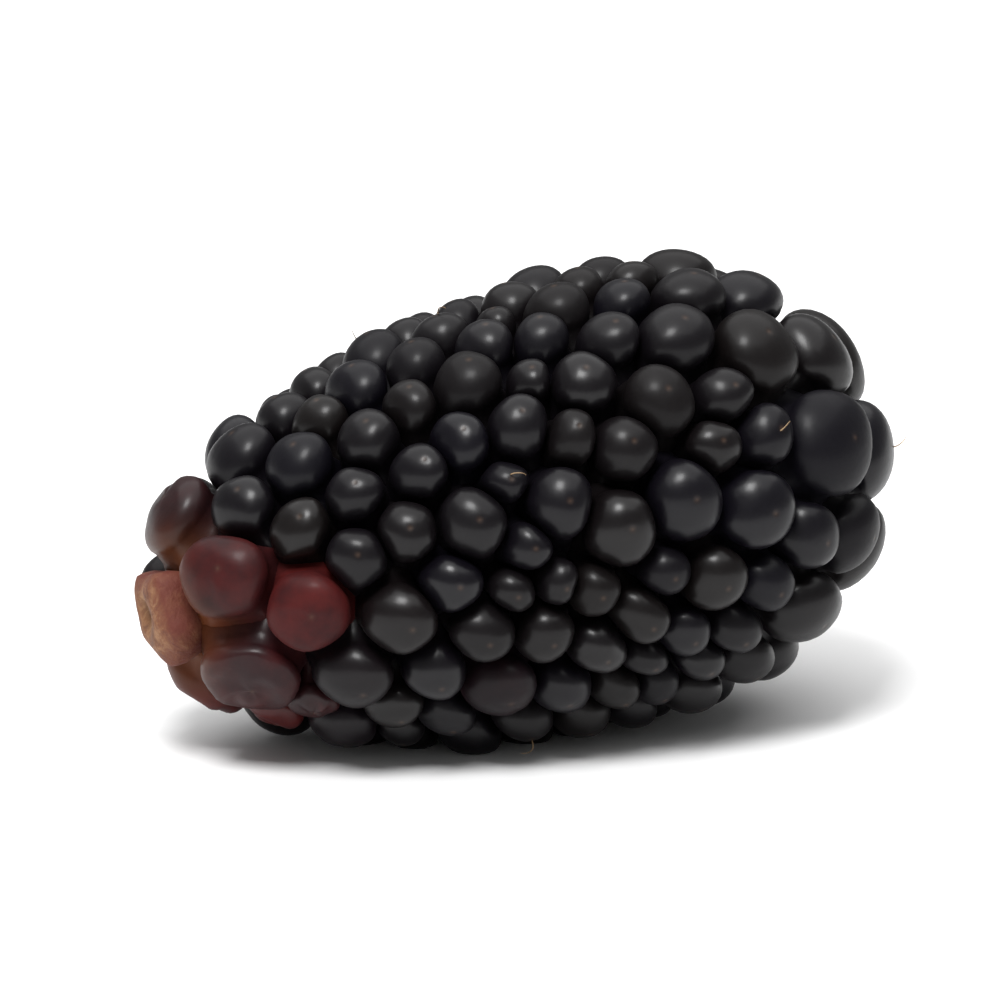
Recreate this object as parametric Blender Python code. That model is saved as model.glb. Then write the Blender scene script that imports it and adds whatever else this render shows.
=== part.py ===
"""A picked bramble berry lying on its side, as one solid: a cluster of drupelets, grown together.

The fruit's own axis runs from the stem end (low x) to the tip (high x). A place on it is given by
its polar angle, 0 at the stem end and pi at the tip, and by its turn round the axis.
The fruit's skin is divided into cells. Each drupelet fills one cell and stands out of it as a
dome, and the cell at the stem end holds the picked end of the receptacle, the fruit's soft core.
"""

import math

import bmesh
import bpy
import numpy as np
from mathutils import Matrix, Vector

MM = 0.001

# The whole fruit, over the drupelets.
LENGTH = 43 * MM
THICKNESS = 24.6 * MM
SWELL = 0.17  # how much thicker the fruit is towards the tip, and thinner towards the stem end
BLUNT_STEM, BLUNT_TIP = 1.9, 2.8  # power of the oval's outline at each end: 2 is an ellipse
PITCH = math.radians(10)  # the tip lies this much higher than the stem end
ROLL = math.radians(20)  # turn about the fruit's own axis, which picks the side it lies on
SQUASH = 1.1 * MM  # how far the undermost drupelets are pressed flat

# The drupelets.
DOME = 1.95 * MM  # mean height of a dome over the grooves
SPACING_STEM, SPACING_MIDDLE, SPACING_TIP = 4.0 * MM, 3.5 * MM, 4.8 * MM
OBLONG = 1.13  # cells are this much longer round the fruit, and shorter along it
UNEVEN = 0.17  # spread of the cells' sizes
DOME_SECTION = ((0.9, 0.5), (0.6, 0.86), (0, 1))  # (share of the cell's width, of the height)
LEAN = 0.2  # how far domes lean towards the tip, as a share of their height
JITTER = 0.13  # random shift of the cells before they settle, as a share of their spacing
GROOVE = 0.25 * MM  # extra depth where three drupelets meet
SEED = 11

# The picked end of the receptacle, a low stub with a hollow end.
MOUTH = 1.25  # size of the cell at the stem end, beside a drupelet's
STUB = 0.8 * MM  # how far it stands out over the grooves
STUB_SECTION = ((0.9, 0.7), (0.8, 1), (0.4, 0.84), (0, 0.8))

GOLDEN_ANGLE = math.pi * (3 - math.sqrt(5))


def profile(polar):
    """Distance along the axis and radius of the skin at the bottom of the grooves.

    A plump oval, blunter and thicker towards the tip.
    """
    along = -np.cos(polar)
    x = (LENGTH / 2 - DOME) * along
    power = np.where(along < 0, BLUNT_STEM, BLUNT_TIP)
    oval = np.sqrt(np.clip(1 - np.abs(along) ** power, 0, 1)) * (1 + SWELL * along)
    return x, (THICKNESS / 2 - DOME) * oval


def lumps(polar, turn):
    """How far the skin departs from a true round, as a factor on its radius."""
    return 1 + 0.022 * np.cos(2 * turn + 0.6) + 0.018 * np.cos(3 * turn - 2.2 * np.cos(polar))


def skin(polar, turn):
    """Points at the bottom of the grooves, in the fruit's own frame."""
    x, radius = profile(polar)
    radius = radius * lumps(polar, turn)
    return np.stack([x, radius * np.cos(turn), radius * np.sin(turn)], axis=-1)


def skin_normals(polar, turn):
    """Outward unit normals, from small steps along and round the skin."""
    step = 1e-4
    safe = np.clip(polar, 2 * step, math.pi - 2 * step)
    along = skin(safe + step, turn) - skin(safe - step, turn)
    around = skin(safe, turn + step) - skin(safe, turn - step)
    normals = np.cross(around, along)
    return normals / np.linalg.norm(normals, axis=-1, keepdims=True)


def spacing(polar):
    """Distance between neighbouring cells: largest at the tip, closest in the middle."""
    along = -np.cos(polar)
    end = np.where(along < 0, SPACING_STEM, SPACING_TIP)
    return SPACING_MIDDLE + (end - SPACING_MIDDLE) * np.abs(along) ** 2.5


def seeded_sites():
    """(polar, turn) of every cell, laid out in a spiral that starts at the receptacle's mouth."""
    polar = np.linspace(0.0005, math.pi - 0.0005, 4000)
    x, radius = profile(polar)
    strip = 2 * math.pi * radius * np.hypot(np.gradient(x), np.gradient(radius))
    filled = np.cumsum(strip / (spacing(polar) ** 2 * math.sqrt(3) / 2))
    count = int(filled[-1])
    order = np.arange(count)
    polar_sites = np.interp(order, filled, polar)
    rng = np.random.default_rng(SEED)
    polar_sites[1:-1] += rng.normal(0, JITTER, count - 2) * spacing(polar_sites[1:-1]) / (LENGTH / 2)
    turn_sites = order * GOLDEN_ANGLE + rng.normal(0, JITTER / 4, count)
    polar_sites[0] = 0
    return np.clip(polar_sites, 0, math.pi), turn_sites


def cell_sizes(count):
    """Each cell's size beside its neighbours', 1 on average."""
    rng = np.random.default_rng(SEED + 1)
    sizes = np.clip(rng.normal(1, UNEVEN, count), 0.65, 1.3)
    sizes[0] = MOUTH
    return sizes


def settled_sites(rounds=36):
    """The cells after each has pushed its neighbours away, except the one at the mouth."""
    polar, turn = seeded_sites()
    sizes = cell_sizes(len(polar))
    half_length, half_thickness = LENGTH / 2 - DOME, THICKNESS / 2 - DOME
    for _ in range(rounds):
        at = skin(polar, turn)
        gap = spacing(polar) * sizes
        mean_gap = (gap[:, None] + gap[None, :]) / 2
        apart = at[:, None] - at[None, :]
        stretch = 1 + (OBLONG - 1) * np.sin(polar)[:, None]
        felt = np.stack(
            [apart[..., 0] * stretch, apart[..., 1] / stretch, apart[..., 2] / stretch], axis=-1
        )
        distance = np.linalg.norm(felt, axis=-1) + np.eye(len(at))
        push = np.clip(1.25 - distance / mean_gap, 0, None) ** 1.5
        np.fill_diagonal(push, 0)
        move = (apart / distance[..., None] * (push * mean_gap)[..., None]).sum(axis=1) * 0.22
        move[0] = 0
        ball = np.stack(
            [-np.cos(polar), np.sin(polar) * np.cos(turn), np.sin(polar) * np.sin(turn)], axis=-1
        )
        ball += move / np.array([half_length, half_thickness, half_thickness])
        ball /= np.linalg.norm(ball, axis=-1, keepdims=True)
        polar = np.arccos(np.clip(-ball[:, 0], -1, 1))
        turn = np.arctan2(ball[:, 2], ball[:, 1])
    return polar, turn


def on_a_ball(polar, turn):
    """The cells' centres mapped to a ball so that small shapes keep their proportions.

    The map's latitude grows with distance along the skin over its radius there.
    """
    fine = np.linspace(0.0005, math.pi - 0.0005, 6000)
    x, radius = profile(fine)
    stretch = 1 + (OBLONG - 1) * np.sin(fine)
    latitude = np.cumsum(stretch**2 * np.hypot(np.gradient(x), np.gradient(radius)) / radius)
    latitude -= np.interp(math.pi / 2, fine, latitude)
    height = np.tanh(np.interp(polar, fine, latitude))
    ring = np.sqrt(1 - height**2)
    return np.stack([height, ring * np.cos(turn), ring * np.sin(turn)], axis=-1)


def cell_neighbours(polar, turn):
    """For each cell, the cells around it in order, seen from outside: the hull of the ball's points."""
    hull = bmesh.new()
    for point in on_a_ball(polar, turn):
        hull.verts.new(point)
    hull.verts.index_update()
    bmesh.ops.convex_hull(hull, input=list(hull.verts))
    bmesh.ops.triangulate(hull, faces=list(hull.faces))
    around = []
    for vert in sorted(hull.verts, key=lambda v: v.index):
        outward = vert.co.normalized()
        east = outward.orthogonal().normalized()
        north = outward.cross(east)
        linked = [edge.other_vert(vert) for edge in vert.link_edges]
        linked.sort(key=lambda v: math.atan2((v.co - vert.co).dot(north), (v.co - vert.co).dot(east)))
        around.append([v.index for v in linked])
    hull.free()
    return around


def dome_rises(polar, sizes, normals):
    """From each cell's centre to its dome's top: outwards, leaning along the skin to the tip.

    The height grows with the cell's size.
    """
    heights = DOME * np.sqrt(spacing(polar) / SPACING_MIDDLE) * (0.45 + 0.55 * sizes)
    to_tip = np.array([1, 0, 0]) - normals[:, :1] * normals
    return heights[:, None] * (normals + LEAN * to_tip)


def place_fruit():
    """Lays the fruit down: its own frame to the world, apart from the last shift."""
    return Matrix.Rotation(-PITCH, 4, "Y") @ Matrix.Rotation(ROLL, 4, "X")


class Fruit:
    """The fruit's surface as one closed bmesh, made cell by cell."""

    def __init__(self):
        polar, turn = settled_sites()
        self.centres = skin(polar, turn)
        self.normals = skin_normals(polar, turn)
        self.normals[0] = (-1, 0, 0)
        self.sizes = cell_sizes(len(polar))
        self.rises = dome_rises(polar, self.sizes, self.normals)
        self.rises[0] = (-STUB, 0, 0)
        self.around = cell_neighbours(polar, turn)
        self.bm = bmesh.new()
        self.rim_verts = {}

    def rim_vert(self, cells):
        """The shared point between two cells, or where three meet, made once."""
        key = frozenset(cells)
        if key not in self.rim_verts:
            members = sorted(key)
            nearness = 1 / self.sizes[members]
            middle = Vector(nearness @ self.centres[members] / nearness.sum())
            if len(members) == 3:
                middle -= Vector(self.normals[members].mean(axis=0)) * GROOVE
            self.rim_verts[key] = self.bm.verts.new(middle)
        return self.rim_verts[key]

    def rim(self, cell):
        """The points round a cell, in order: a saddle to each neighbour and the corners between."""
        ring = self.around[cell]
        points = []
        for here, following in zip(ring, ring[1:] + ring[:1], strict=True):
            points.append(self.rim_vert((cell, here)))
            points.append(self.rim_vert((cell, here, following)))
        return points

    def add_cell(self, cell, section, slot):
        """What stands out of one cell, from its rim to its top: a loop of points for each step."""
        centre = Vector(self.centres[cell])
        rise = Vector(self.rises[cell])
        rim = self.rim(cell)
        loop = rim
        count = len(rim)
        for share, height in section[:-1]:
            ring = [self.bm.verts.new(centre + (v.co - centre) * share + rise * height) for v in rim]
            for i in range(count):
                j = (i + 1) % count
                self.bm.faces.new((loop[i], loop[j], ring[j], ring[i])).material_index = slot
            loop = ring
        top = self.bm.verts.new(centre + rise * section[-1][1])
        for i in range(count):
            self.bm.faces.new((loop[i], loop[(i + 1) % count], top)).material_index = slot


def press_flat(bm, floor):
    """Flattens what lies below the floor's height, as the fruit's weight does."""
    for vert in bm.verts:
        vert.co.z = max(vert.co.z, floor)


def lowest_top(fruit, placed):
    """The height of the lowest drupelet's top."""
    return min((placed @ Vector(top)).z for top in fruit.centres + fruit.rises)


def material(name, colour, roughness, coat=0.0):
    made = bpy.data.materials.new(name)
    made.use_nodes = True
    shader = made.node_tree.nodes["Principled BSDF"]
    shader.inputs["Base Color"].default_value = (*colour, 1)
    shader.inputs["Roughness"].default_value = roughness
    shader.inputs["Metallic"].default_value = 0
    shader.inputs["Coat Weight"].default_value = coat
    made.diffuse_color = (*colour, 1)
    return made


def add_object(name, bm, finishes):
    """Makes a named object of a closed bmesh, with its faces pointing out."""
    bmesh.ops.recalc_face_normals(bm, faces=list(bm.faces))
    bmesh.ops.triangulate(bm, faces=list(bm.faces))
    mesh = bpy.data.meshes.new(name)
    bm.to_mesh(mesh)
    bm.free()
    for finish in finishes:
        mesh.materials.append(finish)
    mesh.shade_smooth()
    mesh.set_sharp_from_angle(angle=math.radians(50))
    made = bpy.data.objects.new(name, mesh)
    bpy.context.scene.collection.objects.link(made)


def main():
    for obj in list(bpy.data.objects):
        bpy.data.objects.remove(obj)

    fruit = Fruit()
    fruit.add_cell(0, STUB_SECTION, slot=1)
    for cell in range(1, len(fruit.centres)):
        fruit.add_cell(cell, DOME_SECTION, slot=0)

    placed = place_fruit()
    floor = lowest_top(fruit, placed) + SQUASH
    fruit.bm.transform(placed)
    press_flat(fruit.bm, floor)

    corners = np.array([v.co for v in fruit.bm.verts])
    middle = (corners.min(axis=0) + corners.max(axis=0)) / 2
    fruit.bm.transform(Matrix.Translation((-middle[0], -middle[1], -floor)))

    skin_finish = material("drupelet_skin", (0.012, 0.009, 0.012), 0.32, coat=0.4)
    flesh_finish = material("receptacle_flesh", (0.55, 0.36, 0.17), 0.8)
    add_object("berry", fruit.bm, [skin_finish, flesh_finish])


main()
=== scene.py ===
"""A picked bramble berry lying on its side on a plain pale floor.

Every drupelet is its own closed bead, pressed against its neighbours. The picked end of the
receptacle stands between the beads at the stem end, and a few dried styles are left on the beads.

The fruit's own axis runs from the stem end (low x) to the tip (high x). A place on it is given by
its polar angle, 0 at the stem end and pi at the tip, and by its turn round the axis.
"""

import math

import bpy
import numpy as np
from mathutils import Matrix, Vector


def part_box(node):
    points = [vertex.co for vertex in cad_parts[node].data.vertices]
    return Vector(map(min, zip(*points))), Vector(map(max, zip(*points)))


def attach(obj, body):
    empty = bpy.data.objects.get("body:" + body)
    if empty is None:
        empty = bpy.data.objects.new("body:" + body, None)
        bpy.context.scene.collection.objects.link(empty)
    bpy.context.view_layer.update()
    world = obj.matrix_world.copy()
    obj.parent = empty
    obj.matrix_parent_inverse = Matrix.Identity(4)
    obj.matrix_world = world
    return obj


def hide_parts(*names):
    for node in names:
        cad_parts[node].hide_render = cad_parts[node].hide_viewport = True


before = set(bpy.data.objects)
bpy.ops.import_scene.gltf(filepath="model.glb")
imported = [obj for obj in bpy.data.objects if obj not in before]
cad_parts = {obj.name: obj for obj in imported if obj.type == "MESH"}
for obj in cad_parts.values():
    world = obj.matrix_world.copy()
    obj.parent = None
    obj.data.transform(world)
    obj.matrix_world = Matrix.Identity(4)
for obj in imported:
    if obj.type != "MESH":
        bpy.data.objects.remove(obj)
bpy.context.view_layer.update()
BERRY_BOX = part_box("berry")

MM = 0.001

# The fruit as the solid has it.
LENGTH = 43 * MM
THICKNESS = 24.6 * MM
SWELL = 0.17  # how much thicker the fruit is towards the tip, and thinner towards the stem end
BLUNT_STEM, BLUNT_TIP = 1.9, 2.8  # power of the oval's outline at each end: 2 is an ellipse
PITCH = math.radians(10)  # the tip lies this much higher than the stem end
ROLL = math.radians(20)  # turn about the fruit's own axis
SQUASH = 1.1 * MM  # how far the undermost drupelets are pressed flat
DOME = 1.95 * MM  # mean height of a drupelet over the grooves
SPACING_STEM, SPACING_MIDDLE, SPACING_TIP = 4.0 * MM, 3.5 * MM, 4.8 * MM
OBLONG = 1.13  # cells are this much longer round the fruit, and shorter along it
UNEVEN = 0.17  # spread of the cells' sizes
SMALLEST_CELL, LARGEST_CELL = 0.65, 1.3
LEAN = 0.2  # how far drupelets lean towards the tip, as a share of their height
JITTER = 0.13  # random shift of the cells before they settle, as a share of their spacing
SEED = 11
MOUTH = 1.25  # size of the receptacle's cell, beside a drupelet's
GOLDEN_ANGLE = math.pi * (3 - math.sqrt(5))

# The beads' fine surface.
COLUMNS = 32
DOME_ANGLES = np.radians([3, 7, 13, 21, 31, 42, 54, 65, 75, 84, 90])
EQUATOR = 0.2  # how high a bead is widest, as a share of its height
UNDERCUT_ROWS = ((0.09, 0.975), (-0.04, 0.955))  # (share of the height, share of the width)
ROOT_ROWS = ((0.75 * MM, 0.99), (1.5 * MM, 1.2), (2.8 * MM, 1.1))  # (depth, share of the cell)
ROOT_END = 3.4 * MM  # depth of a root's point
NEIGHBOURS = 12  # cells round each one that its outline is worked out from
CRISPNESS = 9  # how sharp the corners of a cell's outline are
FILL = 1.02  # how much of its cell a bead fills,
FILL_COLLAPSED = 0.06  # how much more where it has collapsed,
FILL_FANNED = 0.06  # and how much more at the ends, where the beads' tops fan out
ROUND_TOP = 0.7  # how much of the oval there is in the outline at a bead's top
OVAL_CRISPNESS = 8  # how sharply a bead's outline changes from its cell's to an oval
OVAL_FIT = 0.97  # size of the oval at a bead's top
WIDTH_POWER = 0.94  # 1 is an ellipse, less is squarer in the shoulders
HEIGHT_POWER, HEIGHT_POWER_COLLAPSED = 0.94, 0.44
LUMP_TWO, LUMP_THREE = 0.035, 0.025  # depth of a bead's two and three slow waves
SLOPE = 0.05  # how far a bead's top slopes to one side
TILT = 0.06  # spread of how far beads lean at random
FLATTENING = 0.45  # share of its height that a fully collapsed drupelet loses
WRINKLE = 0.08  # height of its wrinkles
SCAR_RADIUS = 0.12 * MM  # where a style stood
SCAR_DEPTH = 0.012
FLOOR_SOFTNESS = 0.12 * MM  # height over which a bead's flat underside turns into its side

# Where drupelets stayed red: (polar angle, turn, reach, redness, how far they collapsed).
RED_PATCHES = (
    (37, 196, 3.0 * MM, 0.66, 0.95),
    (46, 214, 2.6 * MM, 0.7, 0.7),
    (43, 238, 2.6 * MM, 1.0, 0.6),
    (31, 262, 3.0 * MM, 0.85, 0.5),
    (32, 130, 2.2 * MM, 0.68, 0.3),
    (47, 153, 2.0 * MM, 0.85, 0.25),
    (31, 54, 2.4 * MM, 0.5, 0.3),
    (58, 175, 2.4 * MM, 0.42, 0.1),
    (80, 196, 2.2 * MM, 0.45, 0.2),
    (118, 20, 1.7 * MM, 0.35, 0.1),
)

PALE_REACH = 4.6 * MM  # how far from the receptacle's middle red drupelets have pale bases

# The receptacle's picked end.
STUB = 0.7 * MM  # how far it stands out over the grooves
STUB_COLUMNS = 72
STUB_CRISPNESS = 9
STUB_CORNERS = 0.04  # how far it is drawn out to its corners
PIT_DEPTH, PIT_RADIUS = 0.75 * MM, 0.75 * MM
PIT_ASIDE, PIT_UP = 0.35 * MM, -0.2 * MM
RIDGE = 0.16 * MM
RAGGED_WAVES = (3, 5, 8, 13, 21)
STUB_SHARES = np.array([0.1, 0.2, 0.32, 0.44, 0.56, 0.68, 0.78, 0.87, 0.94, 1.0])  # of its width
STUB_WALL = ((0.3 * MM, 1.03), (0.9 * MM, 1.02), (1.8 * MM, 0.9), (3.0 * MM, 0.6))  # (depth, width)
STUB_END = 3.4 * MM  # depth of the wall's point

# The dried styles that still stand on some drupelets.
STYLES = 15
STYLE_RINGS = 9
STYLE_SIDES = 6
STYLE_RADIUS = 0.04 * MM
STYLE_TAPER = 0.65
SHORTEST_STYLE, LONGEST_STYLE = 0.6 * MM, 1.5 * MM
LEAST_CURL, MOST_CURL = 1.4, 2.8  # in radians
STYLE_SWAY = 0.12
STYLE_SEAT = 0.985  # how far up its drupelet a style starts, as a share of the height

# The view and the light.
CAMERA_AZIMUTH, CAMERA_ELEVATION = -21, 15
CAMERA_LENS, CAMERA_SENSOR = 400, 36
FRAME_WIDTH = 53 * MM
WORLD_STRENGTH = 0.25
FLOOR_HALF = 2.0


# --- the fruit's skin and the drupelets' places, as in the solid ---


def profile(polar):
    """Distance along the axis and radius of the skin at the bottom of the grooves."""
    along = -np.cos(polar)
    x = (LENGTH / 2 - DOME) * along
    power = np.where(along < 0, BLUNT_STEM, BLUNT_TIP)
    oval = np.sqrt(np.clip(1 - np.abs(along) ** power, 0, 1)) * (1 + SWELL * along)
    return x, (THICKNESS / 2 - DOME) * oval


def lumps(polar, turn):
    """How far the skin departs from a true round, as a factor on its radius."""
    return 1 + 0.022 * np.cos(2 * turn + 0.6) + 0.018 * np.cos(3 * turn - 2.2 * np.cos(polar))


def skin(polar, turn):
    """Points at the bottom of the grooves, in the fruit's own frame."""
    x, radius = profile(polar)
    radius = radius * lumps(polar, turn)
    return np.stack([x, radius * np.cos(turn), radius * np.sin(turn)], axis=-1)


def skin_normals(polar, turn):
    """Outward unit normals, from small steps along and round the skin."""
    step = 1e-4
    safe = np.clip(polar, 2 * step, math.pi - 2 * step)
    along = skin(safe + step, turn) - skin(safe - step, turn)
    around = skin(safe, turn + step) - skin(safe, turn - step)
    return unit(np.cross(around, along))


def unit(vectors):
    return vectors / np.linalg.norm(vectors, axis=-1, keepdims=True)


def spacing(polar):
    """Distance between neighbouring cells: largest at the tip, closest in the middle."""
    along = -np.cos(polar)
    end = np.where(along < 0, SPACING_STEM, SPACING_TIP)
    return SPACING_MIDDLE + (end - SPACING_MIDDLE) * np.abs(along) ** 2.5


def seeded_sites():
    """(polar, turn) of every cell, laid out in a spiral that starts at the receptacle's mouth."""
    polar = np.linspace(0.0005, math.pi - 0.0005, 4000)
    x, radius = profile(polar)
    strip = 2 * math.pi * radius * np.hypot(np.gradient(x), np.gradient(radius))
    filled = np.cumsum(strip / (spacing(polar) ** 2 * math.sqrt(3) / 2))
    count = int(filled[-1])
    order = np.arange(count)
    polar_sites = np.interp(order, filled, polar)
    rng = np.random.default_rng(SEED)
    polar_sites[1:-1] += rng.normal(0, JITTER, count - 2) * spacing(polar_sites[1:-1]) / (LENGTH / 2)
    turn_sites = order * GOLDEN_ANGLE + rng.normal(0, JITTER / 4, count)
    polar_sites[0] = 0
    return np.clip(polar_sites, 0, math.pi), turn_sites


def cell_sizes(count):
    """Each cell's size beside its neighbours', 1 on average."""
    rng = np.random.default_rng(SEED + 1)
    sizes = np.clip(rng.normal(1, UNEVEN, count), SMALLEST_CELL, LARGEST_CELL)
    sizes[0] = MOUTH
    return sizes


def settled_sites(rounds=36):
    """The cells after each has pushed its neighbours away, except the one at the mouth."""
    polar, turn = seeded_sites()
    sizes = cell_sizes(len(polar))
    half_length, half_thickness = LENGTH / 2 - DOME, THICKNESS / 2 - DOME
    for _ in range(rounds):
        at = skin(polar, turn)
        gap = spacing(polar) * sizes
        mean_gap = (gap[:, None] + gap[None, :]) / 2
        apart = at[:, None] - at[None, :]
        stretch = 1 + (OBLONG - 1) * np.sin(polar)[:, None]
        felt = np.stack(
            [apart[..., 0] * stretch, apart[..., 1] / stretch, apart[..., 2] / stretch], axis=-1
        )
        distance = np.linalg.norm(felt, axis=-1) + np.eye(len(at))
        push = np.clip(1.25 - distance / mean_gap, 0, None) ** 1.5
        np.fill_diagonal(push, 0)
        move = (apart / distance[..., None] * (push * mean_gap)[..., None]).sum(axis=1) * 0.22
        move[0] = 0
        ball = np.stack(
            [-np.cos(polar), np.sin(polar) * np.cos(turn), np.sin(polar) * np.sin(turn)], axis=-1
        )
        ball += move / np.array([half_length, half_thickness, half_thickness])
        ball /= np.linalg.norm(ball, axis=-1, keepdims=True)
        polar = np.arccos(np.clip(-ball[:, 0], -1, 1))
        turn = np.arctan2(ball[:, 2], ball[:, 1])
    return polar, turn


def dome_rises(polar, sizes, normals):
    """From each cell's centre to its dome's top: outwards, leaning along the skin to the tip."""
    heights = DOME * np.sqrt(spacing(polar) / SPACING_MIDDLE) * (0.45 + 0.55 * sizes)
    to_tip = np.array([1, 0, 0]) - normals[:, :1] * normals
    return heights[:, None] * (normals + LEAN * to_tip)


class Cells:
    """The fruit's cells: places, normals, sizes, and how red and how collapsed each drupelet is."""

    def __init__(self):
        polar, turn = settled_sites()
        self.centres = skin(polar, turn)
        self.normals = skin_normals(polar, turn)
        self.normals[0] = (-1, 0, 0)
        self.sizes = cell_sizes(len(polar))
        self.rises = dome_rises(polar, self.sizes, self.normals)
        self.heights = np.linalg.norm(self.rises, axis=1)
        self.redness, self.collapse = self.ripening()
        forward = np.array([1.0, 0, 0]) - self.normals[:, :1] * self.normals
        sideways = np.array([0, 1.0, 0]) - self.normals[:, 1:2] * self.normals
        at_an_end = np.linalg.norm(forward, axis=1, keepdims=True) < 0.05
        self.tangents = unit(np.where(at_an_end, sideways, forward))
        self.bitangents = np.cross(self.normals, self.tangents)

    def ripening(self):
        """The patches' redness and collapse at each cell, falling off with distance like a bell."""
        redness = np.zeros(len(self.centres))
        collapse = np.zeros(len(self.centres))
        for polar, turn, reach, red, sunk in RED_PATCHES:
            spot = skin(np.radians(polar), np.radians(turn))
            near = np.exp(-((np.linalg.norm(self.centres - spot, axis=1) / reach) ** 2))
            redness = np.maximum(redness, red * near)
            collapse = np.maximum(collapse, sunk * near)
        return redness, collapse

    def outlines(self, bearings, crispness):
        """Each cell's outline as a distance from its centre, for each bearing.

        The cell reaches to the planes halfway to its neighbours, in the ratio of their sizes. The
        nearest plane counts most: 1 over the root sum of the inverse distances to a high power.
        """
        apart = self.centres[None, :] - self.centres[:, None]
        distance = np.linalg.norm(apart, axis=-1) + np.eye(len(self.centres))
        nearest = np.argsort(distance, axis=1)[:, : NEIGHBOURS + 1]
        rows = np.arange(len(self.centres))[:, None]
        mine = nearest != rows
        step = apart[rows, nearest]
        across = np.einsum("nkc,nc->nk", step, self.tangents)
        up = np.einsum("nkc,nc->nk", step, self.bitangents)
        share = self.sizes[:, None] / (self.sizes[:, None] + self.sizes[nearest])
        flat = np.maximum(across**2 + up**2, 1e-12) * share
        ahead = across[..., None] * np.cos(bearings) + up[..., None] * np.sin(bearings)
        inverse = np.clip(ahead, 0, None) / flat[..., None] * mine[..., None]
        return (inverse**crispness).sum(axis=1) ** (-1 / crispness)


def rounded(outlines, waves):
    """The outlines with only their slow waves kept: an oval for two waves."""
    spectrum = np.fft.rfft(outlines, axis=1)
    spectrum[:, waves + 1 :] = 0
    return np.fft.irfft(spectrum, n=outlines.shape[1], axis=1)


# --- laying the fruit down ---


def lying(points, cells):
    """Fruit frame to world: turned, then set down so that the lowest beads are pressed on the floor.

    Height below the floor turns into nearly none: half of the height plus its root of squares.
    """
    turned = np.array(Matrix.Rotation(-PITCH, 3, "Y") @ Matrix.Rotation(ROLL, 3, "X"))
    tops = (cells.centres + cells.rises) @ turned.T
    floor = tops[:, 2].min() + SQUASH
    box = (BERRY_BOX[0] + BERRY_BOX[1]) / 2
    middle = (tops.min(axis=0) + tops.max(axis=0)) / 2
    shift = np.array([box.x - middle[0], box.y - middle[1], BERRY_BOX[0].z - floor])
    placed = points @ turned.T + shift
    height = placed[..., 2]
    placed[..., 2] = (height + np.sqrt(height**2 + FLOOR_SOFTNESS**2)) / 2
    return placed


# --- meshes ---


def make_piece(name, points, faces, material, attributes):
    """A smooth mesh piece at the origin that rides on the fruit and stands for its solid."""
    mesh = bpy.data.meshes.new(name)
    mesh.from_pydata(points.reshape(-1, 3).tolist(), [], faces)
    for key, values in attributes.items():
        layer = mesh.attributes.new(key, "FLOAT", "POINT")
        layer.data.foreach_set("value", np.ascontiguousarray(values, dtype=np.float32).ravel())
    mesh.materials.append(material)
    mesh.shade_smooth()
    mesh.update()
    piece = bpy.data.objects.new(name, mesh)
    bpy.context.scene.collection.objects.link(piece)
    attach(piece, "root")
    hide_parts("berry")
    return piece


def capped_faces(bodies, rows, columns):
    """Faces of closed bodies, each a first pole, rows of columns and a last pole, in that order."""
    size = rows * columns + 2
    start = np.arange(bodies)[:, None] * size
    here = np.arange(columns)
    following = (here + 1) % columns
    row = np.arange(rows - 1)[:, None] * columns + 1
    quads = np.stack(
        [row + here, row + columns + here, row + columns + following, row + following], axis=-1
    ).reshape(-1, 4)
    first = np.stack([np.zeros(columns, int), 1 + here, 1 + following], axis=-1)
    base = 1 + (rows - 1) * columns
    last = np.stack([np.full(columns, size - 1), base + following, base + here], axis=-1)
    caps = np.concatenate([first, last])
    all_quads = (start[..., None] + quads).reshape(-1, 4)
    all_caps = (start[..., None] + caps).reshape(-1, 3)
    return all_quads.tolist() + all_caps.tolist()


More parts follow.
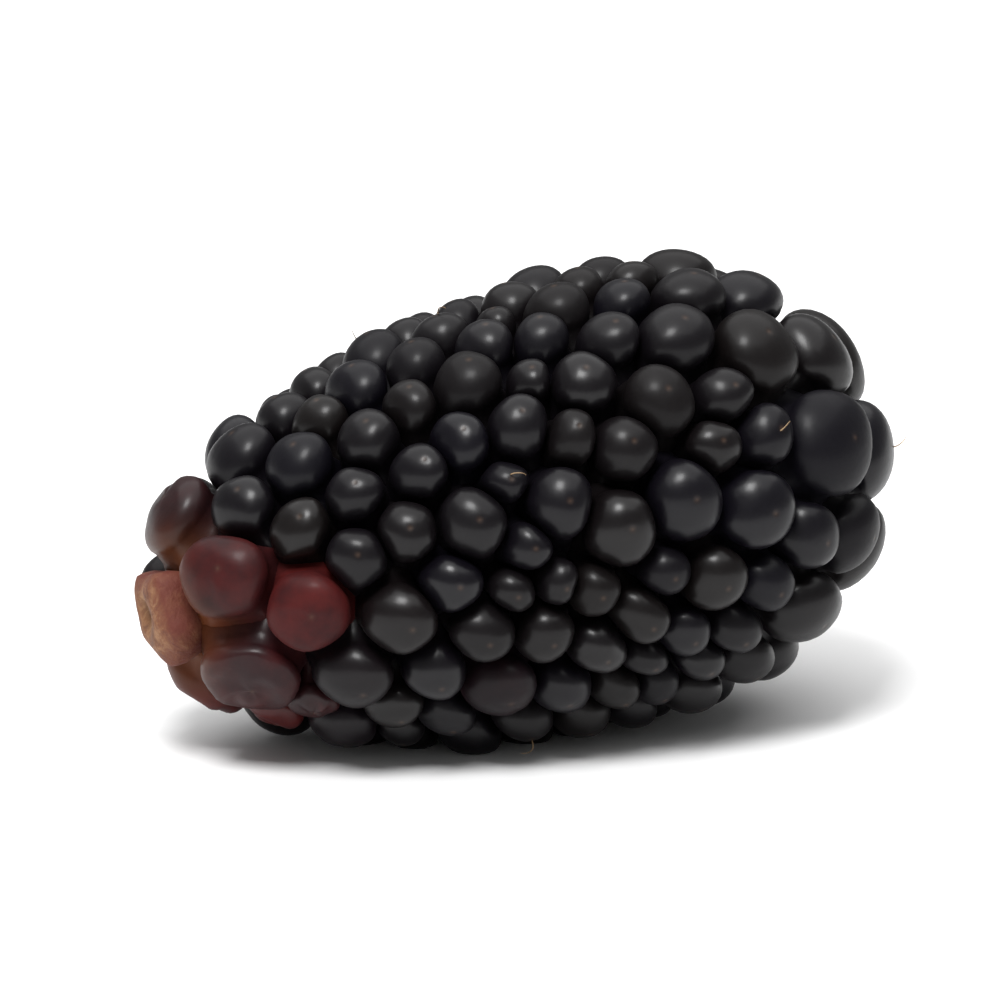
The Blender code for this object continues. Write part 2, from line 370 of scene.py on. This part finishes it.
def bead_points(cells):
    """All beads' points, (beads, points, 3), with their height shares and scar masks.

    Over its equator a bead is a dome: its width goes with the sine of an angle and its height with
    the cosine, both to powers just under 1. Its outline is the smaller of the cell's and of an
    oval, blended by a high inverse power, and closer to the oval at the top. Under the
    equator it draws in a little, then spreads to meet its neighbours and ends in a root.
    """
    rng = np.random.default_rng(SEED + 5)
    count = len(cells.centres)
    bearings = np.arange(COLUMNS) / COLUMNS * 2 * math.pi
    crisp = cells.outlines(bearings, CRISPNESS)
    oval = rounded(crisp, 2)
    fanned = np.clip(np.abs(cells.normals[:, :1]), 0, 1) ** 2
    fill = FILL + FILL_COLLAPSED * cells.collapse[:, None] + FILL_FANNED * fanned
    ball = (crisp**-OVAL_CRISPNESS + oval**-OVAL_CRISPNESS) ** (-1 / OVAL_CRISPNESS) * fill
    phase = rng.uniform(0, 2 * math.pi, (count, 4))
    sunk = cells.collapse[:, None, None]

    angle = DOME_ANGLES[None, :, None]
    width = np.sin(angle) ** WIDTH_POWER
    rounding = HEIGHT_POWER - HEIGHT_POWER_COLLAPSED * sunk
    height = EQUATOR + (1 - EQUATOR) * np.cos(angle) ** rounding
    blend = ROUND_TOP * np.cos(angle) ** 0.6
    outline = ball[:, None] * (1 - blend) + OVAL_FIT * oval[:, None] * blend
    swing = bearings[None, None] + phase[:, :1, None]
    lump = LUMP_TWO * np.cos(2 * swing) + LUMP_THREE * np.cos(3 * swing + phase[:, 1:2, None])
    reach = outline * width * (1 + lump * np.sin(2 * angle))
    slope = SLOPE * width * np.cos(bearings + phase[:, 2:3, None]) * np.cos(angle)
    height = height * (1 - FLATTENING * sunk) + slope
    waves = 2.6 * reach / MM + 3.2 * np.cos(swing) + 1.7 * np.sin(2 * swing) + phase[:, 3:4, None]
    height = height + WRINKLE * sunk * np.cos(waves) * np.sin(2 * angle)
    scar = np.exp(-((reach / SCAR_RADIUS) ** 2))
    height = height - SCAR_DEPTH * scar

    depth = np.array([d for d, _ in ROOT_ROWS])[None, :, None]
    narrowing = np.array([w for _, w in ROOT_ROWS])[None, :, None]
    root_reach = crisp[:, None] * narrowing
    under_height = np.array([h for h, _ in UNDERCUT_ROWS])[None, :, None] * (1 - FLATTENING * sunk)
    under_reach = ball[:, None] * np.array([w for _, w in UNDERCUT_ROWS])[None, :, None]

    across = np.cos(bearings)[None, None, :, None] * cells.tangents[:, None, None]
    up = np.sin(bearings)[None, None, :, None] * cells.bitangents[:, None, None]
    centre = cells.centres[:, None, None]
    tilt = rng.normal(0, TILT, (count, 2)) * cells.heights[:, None]
    rise = cells.rises + tilt[:, :1] * cells.tangents + tilt[:, 1:] * cells.bitangents
    rising, outwards = rise[:, None, None], cells.normals[:, None, None]
    dome = centre + reach[..., None] * (across + up) + height[..., None] * rising
    root = centre + root_reach[..., None] * (across + up) - depth[..., None] * outwards
    under = centre + under_reach[..., None] * (across + up) + under_height[..., None] * rising
    rows = np.concatenate([dome, under, root], axis=1).reshape(count, -1, 3)
    top_height = (1 - FLATTENING * cells.collapse[:, None]) - SCAR_DEPTH
    top = cells.centres + top_height * rise
    bottom = cells.centres - ROOT_END * cells.normals
    points = np.concatenate([top[:, None], rows, bottom[:, None]], axis=1)

    def per_point(dome_values, top_value, root_value):
        """One value for each point of each bead, in the order of the points."""
        shape = (count, len(DOME_ANGLES), COLUMNS)
        over = np.broadcast_to(dome_values, shape).reshape(count, -1)
        rows_under = len(UNDERCUT_ROWS) + len(ROOT_ROWS)
        below = np.full((count, rows_under * COLUMNS + 1), root_value)
        return np.concatenate([np.full((count, 1), top_value), over, below], axis=1)

    share = per_point(np.cos(angle), 1.0, 0.0)
    scars = per_point(scar, 1.0, 0.0)
    return points[1:], share[1:], scars[1:]


def make_drupelets(cells, material):
    """Every drupelet, with what its skin's colour and gloss depend on kept as attributes.

    The paleness is a bell of the distance to the receptacle's middle, less towards a bead's top.
    """
    points, share, scars = bead_points(cells)
    distance = np.linalg.norm(points - cells.centres[0], axis=-1)
    paleness = np.exp(-((distance / PALE_REACH) ** 4)) * (1 - 0.75 * share)
    count, size = share.shape
    rng = np.random.default_rng(SEED + 6)
    tone = rng.uniform(0, 1, count)[:, None]
    dull = np.clip(rng.normal(0.4, 0.25, count), 0, 1)[:, None]
    ones = np.ones((1, size))
    rows = len(DOME_ANGLES) + len(UNDERCUT_ROWS) + len(ROOT_ROWS)
    return make_piece(
        "drupelets",
        lying(points, cells),
        capped_faces(count, rows, COLUMNS),
        material,
        {
            "redness": cells.redness[1:, None] * ones,
            "collapse": cells.collapse[1:, None] * ones,
            "tone": tone * ones,
            "dullness": dull * ones,
            "paleness": paleness,
            "scar": scars,
        },
    )


def make_receptacle(cells, material):
    """The picked end of the receptacle, torn across, as one closed body with a wall going inwards.

    Its outline is its cell's, drawn out a little to four corners. Its face is a crown that falls to
    the rim with a power of the distance, less a bell-shaped pit beside the middle, with ridges that
    are sines of the bearing, strongest halfway out.
    """
    rng = np.random.default_rng(SEED + 7)
    bearings = np.arange(STUB_COLUMNS) / STUB_COLUMNS * 2 * math.pi
    corners = 1 + STUB_CORNERS * np.cos(4 * bearings + 0.8)
    rim = cells.outlines(bearings, STUB_CRISPNESS)[0] * corners
    share = STUB_SHARES[:, None]
    ragged = sum(
        rng.uniform(0.4, 1) / wave * np.sin(wave * bearings + rng.uniform(0, 6.28) + 2.5 * share)
        for wave in RAGGED_WAVES
    )
    reach = rim * share * (1 + 0.03 * ragged * share)
    across, up = reach * np.cos(bearings), reach * np.sin(bearings)
    pit = np.exp(-((across - PIT_ASIDE) ** 2 + (up - PIT_UP) ** 2) / PIT_RADIUS**2)
    crown = STUB * (1 - 0.9 * share**3.5)
    stands = crown - PIT_DEPTH * pit + RIDGE * ragged * share * (1.25 - share)

    wall_depth = np.array([d for d, _ in STUB_WALL])[:, None] * np.ones(STUB_COLUMNS)
    wall_reach = np.array([w for _, w in STUB_WALL])[:, None] * rim
    all_reach = np.concatenate([reach, wall_reach])
    all_height = np.concatenate([stands, stands[-1] - wall_depth])
    east, north = cells.tangents[0], cells.bitangents[0]
    sides = np.cos(bearings)[:, None] * east + np.sin(bearings)[:, None] * north
    rows = cells.centres[0] + all_reach[..., None] * sides + all_height[..., None] * cells.normals[0]
    middle = cells.centres[0] + stands[0].mean() * cells.normals[0]
    inside = cells.centres[0] - STUB_END * cells.normals[0]
    points = np.concatenate([[middle], rows.reshape(-1, 3), [inside]])

    count = len(STUB_SHARES) + len(STUB_WALL)
    wall_points = len(STUB_WALL) * STUB_COLUMNS + 1
    # Mask of the shade painted into the flesh's colour in the pit: the pit's bell, and 0.6 at the middle
    # point; it goes out as the pit attribute.
    painted_pit_shade = np.concatenate([[0.6], pit.ravel(), np.zeros(wall_points)])
    edge = np.concatenate([[0], (share * np.ones(STUB_COLUMNS)).ravel(), np.ones(wall_points)])
    return make_piece(
        "receptacle",
        lying(points, cells),
        capped_faces(1, count, STUB_COLUMNS),
        material,
        {"pit": painted_pit_shade, "edge": edge},
    )


def make_styles(cells, material):
    """Dried styles: thin tapered threads that stand on some drupelets' tops and curl over.

    Each follows an arc whose bearing from the drupelet's own direction grows with the distance
    along it, and its radius shrinks to a third at the free end.
    """
    rng = np.random.default_rng(SEED + 8)
    ripe = np.nonzero((cells.redness < 0.3) & (np.arange(len(cells.centres)) > 0))[0]
    chosen = rng.choice(ripe, STYLES, replace=False)
    rise = cells.rises[chosen]
    outward = unit(rise)
    spin = rng.uniform(0, 2 * math.pi, (STYLES, 1))
    side = np.cos(spin) * cells.tangents[chosen] + np.sin(spin) * cells.bitangents[chosen]
    side = unit(side - (side * outward).sum(axis=1, keepdims=True) * outward)
    third = np.cross(outward, side)
    along = np.linspace(0, 1, STYLE_RINGS)[None, :, None]
    length = rng.uniform(SHORTEST_STYLE / MM, LONGEST_STYLE / MM, (STYLES, 1, 1)) * MM
    curl = rng.uniform(LEAST_CURL, MOST_CURL, (STYLES, 1, 1))
    lean = curl * along
    arc_out = length / curl * np.sin(lean)
    arc_side = length / curl * (1 - np.cos(lean))
    sway = STYLE_SWAY * length * np.sin(3 * along + spin[..., None])
    base = cells.centres[chosen] + rise * STYLE_SEAT
    centre = (
        base[:, None]
        + arc_out * outward[:, None]
        + arc_side * side[:, None]
        + sway * along * third[:, None]
    )
    heading = np.cos(lean) * outward[:, None] + np.sin(lean) * side[:, None]
    first = np.broadcast_to(third[:, None], heading.shape)
    second = np.cross(heading, first)
    turn = np.arange(STYLE_SIDES) / STYLE_SIDES * 2 * math.pi
    radius = STYLE_RADIUS * (1 - STYLE_TAPER * along)[..., None]
    ring = np.cos(turn)[:, None] * first[:, :, None] + np.sin(turn)[:, None] * second[:, :, None]
    rows = (centre[:, :, None] + radius * ring)[:, ::-1].reshape(STYLES, -1, 3)
    points = np.concatenate([centre[:, -1:], rows, centre[:, :1]], axis=1)
    return make_piece(
        "dried_styles",
        lying(points, cells),
        capped_faces(STYLES, STYLE_RINGS, STYLE_SIDES),
        material,
        {},
    )


# --- materials ---


class Nodes:
    """A node tree with short ways to add and join nodes."""

    def __init__(self, tree):
        self.tree = tree

    def node(self, kind, **settings):
        made = self.tree.nodes.new(kind)
        for key, value in settings.items():
            setattr(made, key, value)
        return made

    def link(self, source, target):
        self.tree.links.new(source, target)

    def attribute(self, name):
        return self.node("ShaderNodeAttribute", attribute_name=name).outputs["Fac"]

    def math(self, operation, first, second=None, clamp=False):
        made = self.node("ShaderNodeMath", operation=operation, use_clamp=clamp)
        for socket, value in zip(made.inputs, (first, second)):
            if value is None:
                continue
            if hasattr(value, "is_linked"):
                self.link(value, socket)
            else:
                socket.default_value = value
        return made.outputs[0]

    def noise(self, scale, detail=3.0, roughness=0.5, distortion=0.0):
        coordinates = self.node("ShaderNodeTexCoord").outputs["Object"]
        made = self.node("ShaderNodeTexNoise")
        if hasattr(scale, "is_linked"):
            self.link(scale, made.inputs["Scale"])
        else:
            made.inputs["Scale"].default_value = scale
        made.inputs["Detail"].default_value = detail
        made.inputs["Roughness"].default_value = roughness
        made.inputs["Distortion"].default_value = distortion
        self.link(coordinates, made.inputs["Vector"])
        return made.outputs["Fac"]

    def ramp(self, value, stops):
        made = self.node("ShaderNodeValToRGB")
        elements = made.color_ramp.elements
        while len(elements) < len(stops):
            elements.new(0.5)
        for element, (place, colour) in zip(elements, stops):
            element.position = place
            element.color = (*colour, 1)
        self.link(value, made.inputs["Fac"])
        return made.outputs["Color"]

    def mix(self, share, first, second):
        made = self.node("ShaderNodeMix", data_type="RGBA")
        sockets = (made.inputs[0], made.inputs[6], made.inputs[7])
        for socket, value in zip(sockets, (share, first, second)):
            if hasattr(value, "is_linked"):
                self.link(value, socket)
            elif isinstance(value, tuple):
                socket.default_value = (*value, 1)
            else:
                socket.default_value = value
        return made.outputs[2]

    def spread(self, value, low, high):
        """Maps 0 to 1 onto low to high."""
        made = self.node("ShaderNodeMapRange")
        made.inputs["To Min"].default_value = low
        made.inputs["To Max"].default_value = high
        self.link(value, made.inputs["Value"])
        return made.outputs["Result"]


class Finish(Nodes):
    """A material's own tree, with its shader at hand."""

    def __init__(self, name):
        self.material = bpy.data.materials.new(name)
        self.material.use_nodes = True
        super().__init__(self.material.node_tree)
        self.principled = self.tree.nodes["Principled BSDF"]

    def bump(self, height, strength, distance):
        """The surface's relief, from a height that runs from 0 to 1 over the distance."""
        made = self.node("ShaderNodeBump")
        made.inputs["Strength"].default_value = strength
        made.inputs["Distance"].default_value = distance
        self.link(height, made.inputs["Height"])
        self.link(made.outputs["Normal"], self.principled.inputs["Normal"])

    def placed(self, group, **values):
        """A shared effect placed in this material: its outputs, with its inputs set or joined."""
        made = self.node("ShaderNodeGroup")
        made.node_tree = group
        for name, value in values.items():
            socket = made.inputs[name.replace("_", " ")]
            if hasattr(value, "is_linked"):
                self.link(value, socket)
            else:
                socket.default_value = value
        return made.outputs


def juice_stain_group():
    """Red juice that has run over flesh or skin: a colour stained where a mask and noise allow it."""
    tree = bpy.data.node_groups.new("juice_stain", "ShaderNodeTree")
    for name in ("Clean", "Juice"):
        tree.interface.new_socket(name, in_out="INPUT", socket_type="NodeSocketColor")
    for name in ("Mask", "Patch scale"):
        tree.interface.new_socket(name, in_out="INPUT", socket_type="NodeSocketFloat")
    tree.interface.new_socket("Colour", in_out="OUTPUT", socket_type="NodeSocketColor")
    tree.interface.new_socket("Stained", in_out="OUTPUT", socket_type="NodeSocketFloat")
    nodes = Nodes(tree)
    given = nodes.node("NodeGroupInput").outputs
    result = nodes.node("NodeGroupOutput").inputs
    patchy = nodes.noise(given["Patch scale"], 4, 0.6)
    stained = nodes.math("MULTIPLY", given["Mask"], nodes.spread(patchy, 0.35, 1.5), clamp=True)
    nodes.link(nodes.mix(stained, given["Clean"], given["Juice"]), result["Colour"])
    nodes.link(stained, result["Stained"])
    return tree


def fine_relief_group():
    """Height of a fine uneven surface: a coarse and a fine noise, added in a given share."""
    tree = bpy.data.node_groups.new("fine_relief", "ShaderNodeTree")
    for name in ("Coarse scale", "Fine scale", "Fine share"):
        tree.interface.new_socket(name, in_out="INPUT", socket_type="NodeSocketFloat")
    tree.interface.new_socket("Height", in_out="OUTPUT", socket_type="NodeSocketFloat")
    nodes = Nodes(tree)
    given = nodes.node("NodeGroupInput").outputs
    result = nodes.node("NodeGroupOutput").inputs
    coarse = nodes.noise(given["Coarse scale"], 3, 0.55, 0.4)
    fine = nodes.noise(given["Fine scale"], 3, 0.65)
    fine_part = nodes.math("MULTIPLY", fine, given["Fine share"])
    nodes.link(nodes.math("ADD", coarse, fine_part), result["Height"])
    return tree


def drupelet_skin(juice_stain, fine_relief):
    """Taut satin skin: near black, red where a drupelet is unripe, pale at its base by the receptacle."""
    shader = Finish("drupelet_skin")
    out = shader.principled
    black = shader.mix(shader.attribute("tone"), (0.0026, 0.0021, 0.0042), (0.0042, 0.0030, 0.0029))
    patchy = shader.noise(420, 4, 0.6)
    redness = shader.attribute("redness")
    red = shader.math("MULTIPLY", redness, shader.spread(patchy, 0.5, 1.5), clamp=True)
    reddened = shader.ramp(
        red,
        (
            (0.12, (0.003, 0.0025, 0.003)),
            (0.35, (0.009, 0.003, 0.0035)),
            (0.6, (0.021, 0.0045, 0.005)),
            (0.95, (0.075, 0.008, 0.007)),
        ),
    )
    cover = shader.spread(red, 0, 1.8)
    ripe = shader.mix(cover, black, reddened)
    pale = shader.mix(shader.attribute("paleness"), ripe, (0.15, 0.045, 0.012))
    stained = shader.placed(
        juice_stain,
        Clean=shader.mix(shader.math("MULTIPLY", cover, 0.85, clamp=True), black, pale),
        Juice=(0.02, 0.004, 0.006, 1),
        Mask=shader.spread(shader.attribute("collapse"), 0, 0.45),
        Patch_scale=700.0,
    )
    colour = stained["Colour"]
    colour = shader.mix(shader.spread(shader.attribute("scar"), 0, 0.35), colour, (0.10, 0.06, 0.04))
    shader.link(colour, out.inputs["Base Color"])

    grain = shader.noise(2600, 3, 0.6)
    dull = shader.spread(shader.attribute("dullness"), 0.36, 0.54)
    rough = shader.math("ADD", dull, shader.spread(grain, -0.07, 0.09))
    rough = shader.math("ADD", rough, shader.spread(shader.attribute("collapse"), 0, 0.12))
    shader.link(rough, out.inputs["Roughness"])

    relief = shader.placed(fine_relief, Coarse_scale=520.0, Fine_scale=3600.0, Fine_share=0.35)
    shader.bump(relief["Height"], 0.4, 0.06 * MM)

    shader.link(shader.spread(shader.attribute("dullness"), 0.36, 0.03), out.inputs["Coat Weight"])
    out.inputs["IOR"].default_value = 1.23
    out.inputs["Coat Roughness"].default_value = 0.26
    return shader.material


def receptacle_flesh(juice_stain, fine_relief):
    """Torn fibrous flesh: tan, with painted shade darkening it in the pit, and red juice at the rim."""
    shader = Finish("receptacle_flesh")
    out = shader.principled
    fibre = shader.noise(900, 5, 0.7, 1.2)
    tan = shader.ramp(
        fibre,
        (
            (0.3, (0.07, 0.022, 0.008)),
            (0.5, (0.22, 0.09, 0.033)),
            (0.7, (0.42, 0.24, 0.11)),
        ),
    )
    # Painted shade: the tan darkens to a deep brown over the pit's bell, where the recess lies in shade.
    painted_pit_shade = shader.mix(shader.spread(shader.attribute("pit"), 0, 0.85), tan, (0.10, 0.045, 0.015))
    stained = shader.placed(
        juice_stain,
        Clean=painted_pit_shade,
        Juice=(0.10, 0.016, 0.007, 1),
        Mask=shader.math("POWER", shader.attribute("edge"), 2.5),
        Patch_scale=600.0,
    )
    shader.link(stained["Colour"], out.inputs["Base Color"])
    out.inputs["Roughness"].default_value = 0.75
    relief = shader.placed(fine_relief, Coarse_scale=900.0, Fine_scale=3000.0, Fine_share=0.8)
    shader.bump(relief["Height"], 0.9, 0.12 * MM)
    return shader.material


def dried_style():
    """Dry straw-brown thread."""
    shader = Finish("dried_style")
    straw = shader.ramp(
        shader.noise(1500, 2),
        (
            (0.3, (0.16, 0.09, 0.045)),
            (0.7, (0.42, 0.29, 0.16)),
        ),
    )
    shader.link(straw, shader.principled.inputs["Base Color"])
    shader.principled.inputs["Roughness"].default_value = 0.7
    return shader.material


def floor_finish():
    shader = Finish("white_floor")
    shader.principled.inputs["Base Color"].default_value = (0.9, 0.9, 0.9, 1)
    shader.principled.inputs["Roughness"].default_value = 0.9
    return shader.material


# --- the room ---


def make_floor():
    half = FLOOR_HALF
    mesh = bpy.data.meshes.new("floor")
    z = BERRY_BOX[0].z
    corners = [(-half, -half, z), (half, -half, z), (half, half, z), (-half, half, z)]
    mesh.from_pydata(corners, [], [(0, 1, 2, 3)])
    mesh.materials.append(floor_finish())
    floor = bpy.data.objects.new("floor", mesh)
    bpy.context.scene.collection.objects.link(floor)


def direction(azimuth, elevation):
    """Unit vector towards a point round the fruit, as a camera's azimuth and elevation give it."""
    a, e = math.radians(azimuth), math.radians(elevation)
    return Vector((math.sin(a) * math.cos(e), -math.cos(a) * math.cos(e), math.sin(e)))


def make_softbox(name, azimuth, elevation, distance, size, watts):
    """A square area light that faces the fruit's middle."""
    light = bpy.data.lights.new(name, "AREA")
    light.shape = "SQUARE"
    light.size = size
    light.energy = watts
    made = bpy.data.objects.new(name, light)
    middle = (BERRY_BOX[0] + BERRY_BOX[1]) / 2
    towards = direction(azimuth, elevation)
    made.location = middle + towards * distance
    made.rotation_euler = towards.to_track_quat("Z", "Y").to_euler()
    bpy.context.scene.collection.objects.link(made)


def make_world():
    world = bpy.data.worlds.new("studio")
    world.use_nodes = True
    background = world.node_tree.nodes["Background"]
    background.inputs["Color"].default_value = (1, 1, 1, 1)
    background.inputs["Strength"].default_value = WORLD_STRENGTH
    bpy.context.scene.world = world


def make_camera():
    data = bpy.data.cameras.new("camera")
    data.lens = CAMERA_LENS
    data.sensor_width = CAMERA_SENSOR
    data.clip_start = 0.01
    data.clip_end = 20
    camera = bpy.data.objects.new("camera", data)
    middle = (BERRY_BOX[0] + BERRY_BOX[1]) / 2
    back = direction(CAMERA_AZIMUTH, CAMERA_ELEVATION)
    camera.location = middle + back * (FRAME_WIDTH * data.lens / data.sensor_width)
    camera.rotation_euler = back.to_track_quat("Z", "Y").to_euler()
    bpy.context.scene.collection.objects.link(camera)
    bpy.context.scene.camera = camera


def main():
    cells = Cells()
    juice_stain = juice_stain_group()
    fine_relief = fine_relief_group()
    make_drupelets(cells, drupelet_skin(juice_stain, fine_relief))
    make_receptacle(cells, receptacle_flesh(juice_stain, fine_relief))
    make_styles(cells, dried_style())
    make_floor()
    make_world()
    make_softbox("key", azimuth=-38, elevation=60, distance=0.7, size=0.24, watts=4.6)
    make_softbox("overhead", azimuth=160, elevation=82, distance=1.1, size=2.2, watts=24.0)
    make_camera()
    bpy.context.scene.view_settings.view_transform = "Standard"


main()
